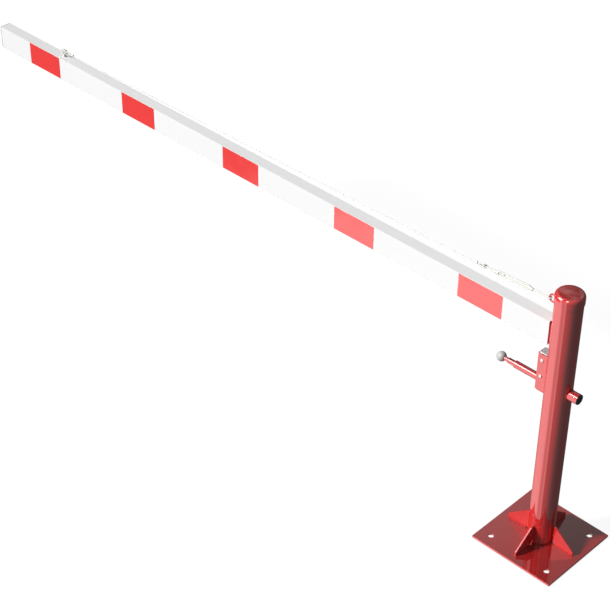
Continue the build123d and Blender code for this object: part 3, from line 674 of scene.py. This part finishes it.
def make_rope(line):
    """Six strands laid round the rope's line, over a core strand."""
    step = rope_lay / rope_steps_per_lay
    centres = spaced(line, step)
    frames = turned_frames(centres)
    strand_radius = rope_radius / 3 * strand_closing
    lay_radius = rope_radius - strand_radius
    points, faces = [], []
    for strand in range(rope_strands + 1):
        start = len(points)
        is_core = strand == rope_strands
        offset = 0.0 if is_core else lay_radius
        thickness = rope_core if is_core else strand_radius
        for index, (centre, (tangent, side, other)) in enumerate(zip(centres, frames)):
            turn = 2 * math.pi * (strand / rope_strands + index * step / rope_lay)
            outward = math.cos(turn) * side + math.sin(turn) * other
            beside = tangent.cross(outward)
            middle = centre + offset * outward
            for number in range(strand_sides):
                angle = 2 * math.pi * number / strand_sides
                rim = math.cos(angle) * outward + math.sin(angle) * beside
                points.append(middle + thickness * rim)
        strand_faces = stitch(len(centres), strand_sides, False)
        faces += [tuple(start + corner for corner in face) for face in strand_faces]
    rope = add_piece("stay_rope_strands", points, faces, "mast", "rope_wire")
    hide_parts("stay_rope")


thimble_reach = 20.0 * mm
thimble_base = 0.9 * mm
thimble_lip = 0.7 * mm
thimble_play = 0.15 * mm
thimble_step = 1.0 * mm
thimble_inside = 6.0 * mm
thimble_noses = {"boom_thimble": (0.0188, 1), "strain_thimble": (2.2926, -1)}


def make_thimble(line, node):
    """A pressed channel that follows the rope round one nose of the stay."""
    nose, towards_x = thimble_noses[node]
    nose_x = rope_start.x + nose
    limit = nose_x + towards_x * thimble_reach
    bent = [point for point in line if (point.x - limit) * towards_x < 0]
    centres = spaced(bent, thimble_step)
    middle = Vector((nose_x, 0.0, sum(point.z for point in bent) / len(bent)))
    inside = middle + Vector((towards_x * thimble_inside, 0, 0))
    half = rope_radius + thimble_play
    outer = half + thimble_lip
    base = half + thimble_base
    section = [
        (base, -outer), (0.0, -outer), (0.0, -half), (half, -half),
        (half, half), (0.0, half), (0.0, outer), (base, outer),
    ]
    points = []
    for index, centre in enumerate(centres):
        before = centres[max(index - 1, 0)]
        after = centres[min(index + 1, len(centres) - 1)]
        tangent = (after - before).normalized()
        inward = tangent.cross(Vector((0, 1, 0)))
        if inward.dot(inside - centre) < 0:
            inward = -inward
        for depth, width in section:
            points.append(centre + depth * inward + Vector((0, width, 0)))
    faces = stitch(len(centres), len(section), False)
    piece = add_piece(f"{node}_channel", points, faces, "mast", "zinc")
    piece.data.shade_flat()
    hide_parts(node)


thread_radius = 2.8 * mm
thread_pitch = 1.0 * mm
thread_depth = 0.45 * mm
thread_sunk = 0.1 * mm
thread_half_width = 0.42
thread_steps = 20
boss_length = 16.0 * mm
nut_length = 5.0 * mm
thread_outside = 14.0 * mm


def make_thread(name, start, direction, length):
    """A helical ridge round a rod, from its start along its direction."""
    side = direction.orthogonal().normalized()
    other = direction.cross(side)
    count = round(length / thread_pitch * thread_steps)
    half_width = direction * thread_pitch * thread_half_width
    points = []
    for index in range(count + 1):
        turn = 2 * math.pi * index / thread_steps
        outward = math.cos(turn) * side + math.sin(turn) * other
        centre = start + direction * (thread_pitch * index / thread_steps)
        taper = min(1.0, index / thread_steps, (count - index) / thread_steps)
        root = centre + outward * (thread_radius - thread_sunk)
        crest = centre + outward * (thread_radius + thread_depth * taper)
        points += [root - half_width, crest, root + half_width]
    return add_piece(name, points, stitch(count + 1, 3, False), "mast", "zinc")


def make_threads():
    """Thread on the turnbuckle's two rods where it shows, inside the frame and beside it."""
    joints = frame["record"]["behaviour"]["joints"]
    joint = next(joint for joint in joints if joint["name"] == "turnbuckle_turn")
    pull, knee = Vector(joint["axis"]), Vector(joint["pos_m"])

    def along(x):
        return (x - knee.x) / pull.x

    frame_start, frame_end = (along(corner.x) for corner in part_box("turnbuckle_frame"))
    eye_end = along(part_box("turnbuckle_eye_rod")[1].x)
    hook_start = along(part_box("turnbuckle_hook_rod")[0].x)
    before, after = frame_start - nut_length, frame_end + nut_length
    stretches = {
        "eye_rod_thread_inside": (frame_start + boss_length, eye_end),
        "eye_rod_thread_outside": (before - thread_outside, before),
        "hook_rod_thread_inside": (hook_start, frame_end - boss_length),
        "hook_rod_thread_outside": (after, after + thread_outside),
    }
    for name, (start, end) in stretches.items():
        make_thread(name, knee + pull * start, pull, end - start)


# ---------------------------------------------------------------- stage and light
floor_half = 40.0
floor_glow = 0.92
floor_grey = grey(0.12)
floor_gap = 0.5 * mm


def make_floor():
    """A wide pale floor that only the camera sees, so that it does not colour the gloss."""
    mesh = bpy.data.meshes.new("studio_floor")
    corners = [(-floor_half, -floor_half, 0), (floor_half, -floor_half, 0)]
    corners += [(floor_half, floor_half, 0), (-floor_half, floor_half, 0)]
    mesh.from_pydata(corners, [], [(0, 1, 2, 3)])
    floor = bpy.data.objects.new("studio_floor", mesh)
    floor.location.z = cad_box[0].z - floor_gap
    floor.visible_glossy = False
    floor.visible_diffuse = False

    def build(tree):
        return {
            "Base Color": floor_grey,
            "Roughness": 1.0,
            "Specular IOR Level": 0.0,
            "Emission Color": grey(1.0),
            "Emission Strength": floor_glow,
        }

    mesh.materials.append(finish("studio_floor", build))
    bpy.context.scene.collection.objects.link(floor)


# The room, as fitted; bearings and heights are in degrees. Diffuse rays meet a dim even room
# with one paler side. Mirror rays meet low walls that change with the bearing, a plain band above
# them that ends at a bearing, a clouded ceiling, and one pale panel high on the lamp's side.
soft_room = 0.10
soft_back = (115.0, 40.0, 0.25)
soft_fade = 10.0
low_walls = [
    (0.0, 0.18), (19.0, 0.13), (87.0, 0.09), (123.0, 0.25), (159.0, 0.50), (189.0, 0.93),
    (225.0, 1.12), (247.0, 1.17), (251.0, 0.58), (273.0, 0.58), (276.0, 0.85), (283.0, 0.85),
    (287.0, 0.26), (316.0, 0.27), (349.0, 0.20), (360.0, 0.18),
]
wall_scale = 2.0
wall_edge = (-33.4, -32.4)
band_end = (233.0, 238.0)
plain_band = 0.13
ceiling_edge = (12.0, 30.0)
ceiling_dark = 0.12
ceiling_pale = 0.55
cloud_scale = 3.0
cloud_range = (0.35, 0.65)
far_panel = (230.0, 16.0, 43.0, 57.0, 1.1)
panel_fade = 1.0


def sine(degrees):
    """The sine of an angle in degrees."""
    return math.sin(math.radians(degrees))


def cosine(degrees):
    """The cosine of an angle in degrees."""
    return math.cos(math.radians(degrees))


def heading(bearing, height):
    """The direction of a compass bearing and a height, both in degrees."""
    return (cosine(bearing) * cosine(height), sine(bearing) * cosine(height), sine(height))


def make_world():
    """A white background for the camera, and the two rooms for soft light and for mirrors."""
    world = bpy.data.worlds.new("studio")
    bpy.context.scene.world = world
    world.use_nodes = True
    tree = Tree(world.node_tree)
    towards = tree.add("ShaderNodeTexCoord").outputs["Generated"]
    parts = tree.add("ShaderNodeSeparateXYZ", {"Vector": towards}).outputs
    height = parts["Z"]

    level = tree.vector("NORMALIZE", tree.vector("MULTIPLY", towards, (1.0, 1.0, 0.0)))
    bearing, half_width, strength = soft_back
    aim = tree.vector("DOT_PRODUCT", level, heading(bearing, 0.0))
    far_edge, near_edge = cosine(half_width + soft_fade), cosine(half_width - soft_fade)
    behind = tree.step(aim, far_edge, near_edge, 0.0, strength)
    soft = tree.math("ADD", soft_room, behind)

    angle = tree.math("ARCTAN2", parts["Y"], parts["X"])
    share = tree.math("FRACT", tree.math("DIVIDE", angle, 2 * math.pi))
    ramp = tree.add("ShaderNodeValToRGB", {"Fac": share})
    stops = ramp.color_ramp.elements
    while len(stops) > 1:
        stops.remove(stops[-1])
    stops[0].position = 0.0
    for number, (bearing, glow) in enumerate(low_walls):
        stop = stops[0] if number == 0 else stops.new(bearing / 360.0)
        stop.color = grey(glow / wall_scale)
    walls = tree.math("MULTIPLY", ramp.outputs["Color"], wall_scale)
    above = tree.step(height, sine(wall_edge[0]), sine(wall_edge[1]))
    left = tree.step(share, band_end[0] / 360.0, band_end[1] / 360.0, 1.0, 0.0)
    plain = tree.math("MULTIPLY", above, left)
    settings = {"Vector": towards, "Scale": cloud_scale, "Detail": 1.0}
    cloud = tree.add("ShaderNodeTexNoise", settings).outputs["Fac"]
    ceiling = tree.step(cloud, *cloud_range, ceiling_dark, ceiling_pale)
    overhead = tree.step(height, sine(ceiling_edge[0]), sine(ceiling_edge[1]))
    sides = tree.blend(plain, walls, plain_band)
    mirror = tree.blend(overhead, sides, ceiling)
    bearing, half_width, low, high, strength = far_panel
    aim = tree.vector("DOT_PRODUCT", level, heading(bearing, 0.0))
    far_edge, near_edge = cosine(half_width + panel_fade), cosine(half_width - panel_fade)
    wide = tree.step(aim, far_edge, near_edge, 0.0, strength)
    bottom = tree.step(height, sine(low - panel_fade), sine(low + panel_fade))
    top = tree.step(height, sine(high + panel_fade), sine(high - panel_fade))
    panel = tree.math("MULTIPLY", wide, tree.math("MULTIPLY", bottom, top))
    mirror = tree.math("ADD", mirror, panel)

    path = tree.add("ShaderNodeLightPath").outputs
    lit = tree.blend(path["Is Glossy Ray"], soft, mirror)
    strength = tree.math("MAXIMUM", lit, path["Is Camera Ray"])
    settings = {"Color": grey(1.0), "Strength": strength}
    background = tree.add("ShaderNodeBackground", settings)
    output = tree.add("ShaderNodeOutputWorld")
    tree.tree.links.new(background.outputs[0], output.inputs["Surface"])


key_bearing = 237.0
key_height = 31.0
key_width = 8.0
key_power = 4.4


def make_key():
    """One soft distant lamp on the boom's front side, seen by no mirror."""
    data = bpy.data.lights.new("key_lamp", "SUN")
    data.angle = math.radians(key_width)
    data.energy = key_power
    lamp = bpy.data.objects.new("key_lamp", data)
    towards_lamp = Vector(heading(key_bearing, key_height))
    lamp.rotation_euler = towards_lamp.to_track_quat("Z", "Y").to_euler()
    lamp.visible_glossy = False
    bpy.context.scene.collection.objects.link(lamp)


# Two softboxes near the post's head that only mirrors see, so they show on the cap and the lock's
# tubes and not on the flat plate. Bearing, half width, low and high edge as the cap sees them,
# and glow.
softboxes = [(225.0, 16.0, 15.0, 42.0, 7.0), (285.0, 10.0, 33.0, 53.0, 6.0)]
softbox_distance = 1.2


def make_softboxes():
    """Upright area lamps that face the post's axis from their bearings."""
    cap_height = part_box("mast_cap")[1].z
    for number, (bearing, half_width, low, high, glow) in enumerate(softboxes):
        bottom = softbox_distance * math.tan(math.radians(low))
        top = softbox_distance * math.tan(math.radians(high))
        data = bpy.data.lights.new(f"softbox_{number + 1}", "AREA")
        data.shape = "RECTANGLE"
        data.size = 2 * softbox_distance * math.tan(math.radians(half_width))
        data.size_y = top - bottom
        data.energy = glow * math.pi * data.size * data.size_y
        lamp = bpy.data.objects.new(f"softbox_{number + 1}", data)
        outward = Vector(heading(bearing, 0.0))
        middle_height = cap_height + (bottom + top) / 2
        lamp.location = outward * softbox_distance + Vector((0.0, 0.0, middle_height))
        lamp.rotation_euler = outward.to_track_quat("Z", "Y").to_euler()
        lamp.visible_camera = False
        lamp.visible_diffuse = False
        bpy.context.scene.collection.objects.link(lamp)


make_camera()
bpy.context.scene.view_settings.view_transform = "Standard"
make_floor()
make_world()
make_key()
make_softboxes()
finish_frame()
weld_foot()
weld_lock()
weld_head()
rope_points = rope_line()
make_rope(rope_points)
for thimble in thimble_noses:
    make_thimble(rope_points, thimble)
make_threads()
